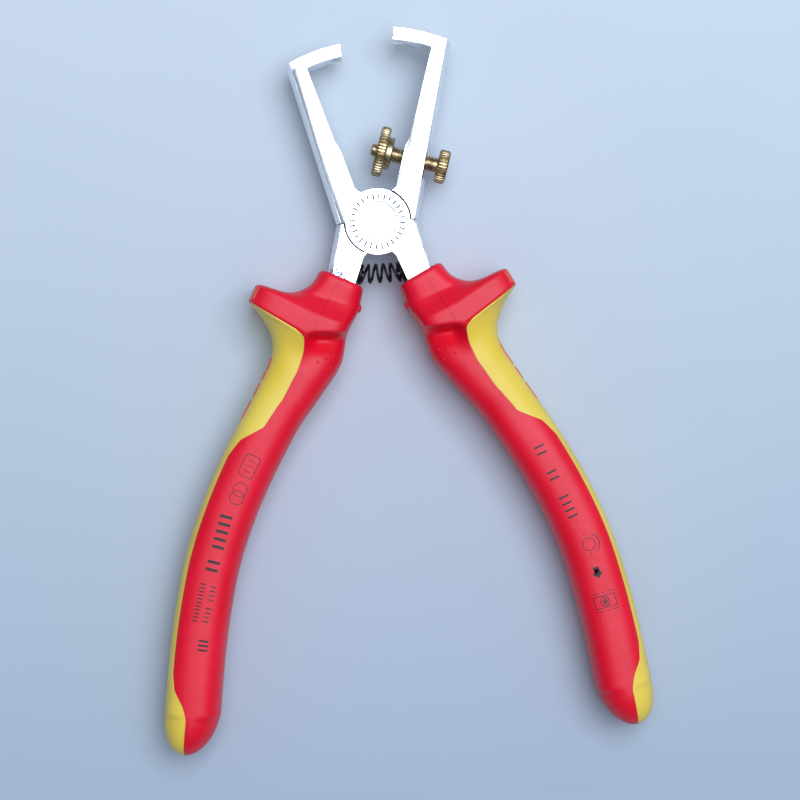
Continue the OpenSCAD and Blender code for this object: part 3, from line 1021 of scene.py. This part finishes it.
def knurl(teeth):
    """Straight knurling with wide flat crests, which fades where the profile is chamfered."""

    def radius_at(s, r_and_cut, angle):
        r, cut = r_and_cut
        wave = 0.5 + 0.5 * math.cos(teeth * angle)
        return r - KNURL_DEPTH * cut * (1 - min(1.0, wave * 1.9) ** 0.7)

    return radius_at


def rim_profile(span, r):
    """A knurled rim's profile of (s, (r, cut)), where cut is how much of the knurl's depth is there."""
    chamfer = KNURL_CHAMFER
    low, high = span
    rise = [(0.0, (r - chamfer - 0.15, 0.0)), (0.0, (r - chamfer, 0.15)),
            (0.5 * chamfer, (r - 0.45 * chamfer, 0.6)), (chamfer, (r, 1.0))]
    return [(low + s, at) for s, at in rise] + [(high - s, at) for s, at in reversed(rise)]


def make_screw():
    """The point, the thread with its run-outs, the neck, and the knurled head."""
    shell = Shell()
    profile = [(SCREW_TIP, 0.05), (SCREW_TIP, SCREW_POINT_R - 0.35), (SCREW_TIP + 0.1, SCREW_POINT_R - 0.2),
               (SCREW_TIP + 0.35, SCREW_POINT_R), (SCREW_POINT_END - 0.05, SCREW_POINT_R)]
    start, end = SCREW_POINT_END, SCREW_NECK_FROM
    count = int((end - start) / THREAD_STEP)
    profile += [(start + (end - start) * k / count, THREAD_R) for k in range(count + 1)]
    profile += [(end + 0.1, SCREW_NECK_R), (HEAD_SPAN[0] + 0.2, SCREW_NECK_R)]

    def thread(s, r, angle):
        """The radius with the thread cut in, where the profile is at the thread's own radius."""
        if r < THREAD_R:
            return r
        phase = (s / THREAD_PITCH + angle / (2 * math.pi)) % 1.0
        crest = min(1.0, max(0.0, 1.35 - abs(phase - 0.5) * 3.4))
        ease = min(1.0, (s - start) / 0.5, (end - s) / 0.3)
        return THREAD_R - THREAD_DEPTH * (1 - crest * max(0.0, ease))

    shell.grid(turned_rings(profile, THREAD_SIDES, thread))
    shell.grid(turned_rings(rim_profile(HEAD_SPAN, HEAD_R), HEAD_TEETH * KNURL_STEPS, knurl(HEAD_TEETH)))
    screw = shell.build("knurled_screw")
    sharpen(screw, KNURL_CREASE)
    dress(screw, BRASS, "brass", "adjusting_screw", "adjusting_screw")


def make_nut():
    """The knurled wheel, its collar, and the bore that the screw passes through."""
    bore = THREAD_R + NUT_CLEARANCE
    low, high = RIM_SPAN
    plain = [(high, COLLAR_R + 0.1), (high + 0.1, COLLAR_R), (COLLAR_END - NUT_CHAMFER, COLLAR_R),
             (COLLAR_END, COLLAR_R - NUT_CHAMFER), (COLLAR_END, bore + NUT_MOUTH),
             (COLLAR_END - NUT_CHAMFER, bore), (low + NUT_CHAMFER, bore)]
    profile = [(low + NUT_CHAMFER, (bore, 0.0)), (low, (bore + NUT_MOUTH, 0.0))]
    profile += rim_profile(RIM_SPAN, RIM_R)
    profile += [(s, (r, 0.0)) for s, r in plain]
    shell = Shell()
    shell.grid(turned_rings(profile, RIM_TEETH * KNURL_STEPS, knurl(RIM_TEETH)), caps=False)
    nut = shell.build("knurled_nut")
    sharpen(nut, KNURL_CREASE)
    dress(nut, BRASS, "brass", "lock_nut", "lock_nut")


make_screw()
make_nut()


# ---------------------------------------------------------------- stage, light and camera

CAMERA_HEIGHT = 500.0
PIXELS_PER_MM = 4.643
FRAME_PIXELS = 800
SENSOR_MM = 36.0
CAMERA_OFFSET = (4.868, -38.19)
CAMERA_TILT = (0.35, 1.34, 3.76)
CAMERA_CLIP = 10


def make_camera():
    """Almost straight overhead, turned a little so that the tool leans to the left."""
    data = bpy.data.cameras.new("camera")
    data.sensor_width = SENSOR_MM
    data.lens = PIXELS_PER_MM * CAMERA_HEIGHT * SENSOR_MM / FRAME_PIXELS
    camera = bpy.data.objects.new("camera", data)
    bpy.context.scene.collection.objects.link(camera)
    rx, ry, rz = (math.radians(a) for a in CAMERA_TILT)
    turn = Matrix.Rotation(rz, 3, "Z") @ Matrix.Rotation(ry, 3, "Y") @ Matrix.Rotation(rx, 3, "X")
    axes = turn.transposed()
    where = Vector(place(axes @ Vector((*CAMERA_OFFSET, CAMERA_HEIGHT))))
    camera.matrix_world = Matrix.Translation(where) @ axes.to_4x4()
    data.clip_end = CAMERA_CLIP
    bpy.context.scene.camera = camera


FLOOR_HALF = 1.6
# Painted shade for the light's falloff: the span along y where the tabletop darkens, and its colours from
# dark to light
FLOOR_SHADE_SPAN = (-0.09, 0.085)
FLOOR_SHADE_STOPS = [(0.0, (0.45, 0.52, 0.63)), (1.0, (0.68, 0.74, 0.81))]


def make_floor():
    """A plain pale blue-grey tabletop, with painted shade that darkens it towards the handles' ends, for the
    light's falloff.
    """
    corners = [(FLOOR_HALF * x, FLOOR_HALF * y, 0) for x, y in ((-1, -1), (1, -1), (1, 1), (-1, 1))]
    mesh = bpy.data.meshes.new("tabletop")
    mesh.from_pydata(corners, [], [(0, 1, 2, 3)])
    floor = bpy.data.objects.new("tabletop", mesh)
    bpy.context.scene.collection.objects.link(floor)
    mat, tree, shader = material("tabletop")
    coords = object_coords(tree)
    y = add_node(tree, "ShaderNodeSeparateXYZ", {"Vector": coords}).outputs["Y"]
    # Painted shade: darker towards the handles' ends
    colour = ramp(tree, remap(tree, y, *FLOOR_SHADE_SPAN, 0.0, 1.0), FLOOR_SHADE_STOPS)
    tree.links.new(colour, shader.inputs["Base Color"])
    tree.links.new(remap(tree, noise(tree, 30.0, 3.0), 0.3, 0.7, 0.5, 0.6), shader.inputs["Roughness"])
    shader.inputs["Specular IOR Level"].default_value = 0.2
    mesh.materials.append(mat)


SKY_DIRECTION = (0.33, 0.12, 0.94)
SKY_STOPS = [(0.0, (0.04, 0.05, 0.07)), (1.0, (0.26, 0.29, 0.34))]
SOFTBOX_AT = (0.2, 0.2, 1.15)
SOFTBOX_SIZE = 0.8
SOFTBOX_POWER = 11.5
SOFTBOX_COLOUR = (0.9, 1.0, 1.12)


def make_softbox():
    """A square softbox overhead, facing the origin."""
    data = bpy.data.lights.new("softbox", "AREA")
    data.shape = "SQUARE"
    data.size = SOFTBOX_SIZE
    data.energy = SOFTBOX_POWER
    data.color = SOFTBOX_COLOUR
    light = bpy.data.objects.new("softbox", data)
    bpy.context.scene.collection.objects.link(light)
    light.location = SOFTBOX_AT
    light.rotation_euler = Vector(SOFTBOX_AT).to_track_quat("Z", "Y").to_euler()


def make_sky():
    """A sky that fades towards the left and the horizon."""
    world = bpy.data.worlds.new("studio")
    world.use_nodes = True
    tree = world.node_tree
    direction = add_node(tree, "ShaderNodeTexCoord").outputs["Generated"]
    vectors = {0: direction, 1: SKY_DIRECTION}
    towards = add_node(tree, "ShaderNodeVectorMath", vectors, operation="DOT_PRODUCT").outputs["Value"]
    sky = ramp(tree, remap(tree, towards, -0.3, 1.0, 0.0, 1.0), SKY_STOPS)
    tree.links.new(sky, tree.nodes["Background"].inputs["Color"])
    bpy.context.scene.world = world


make_camera()
make_floor()
make_sky()
make_softbox()
bpy.context.scene.view_settings.view_transform = "Standard"
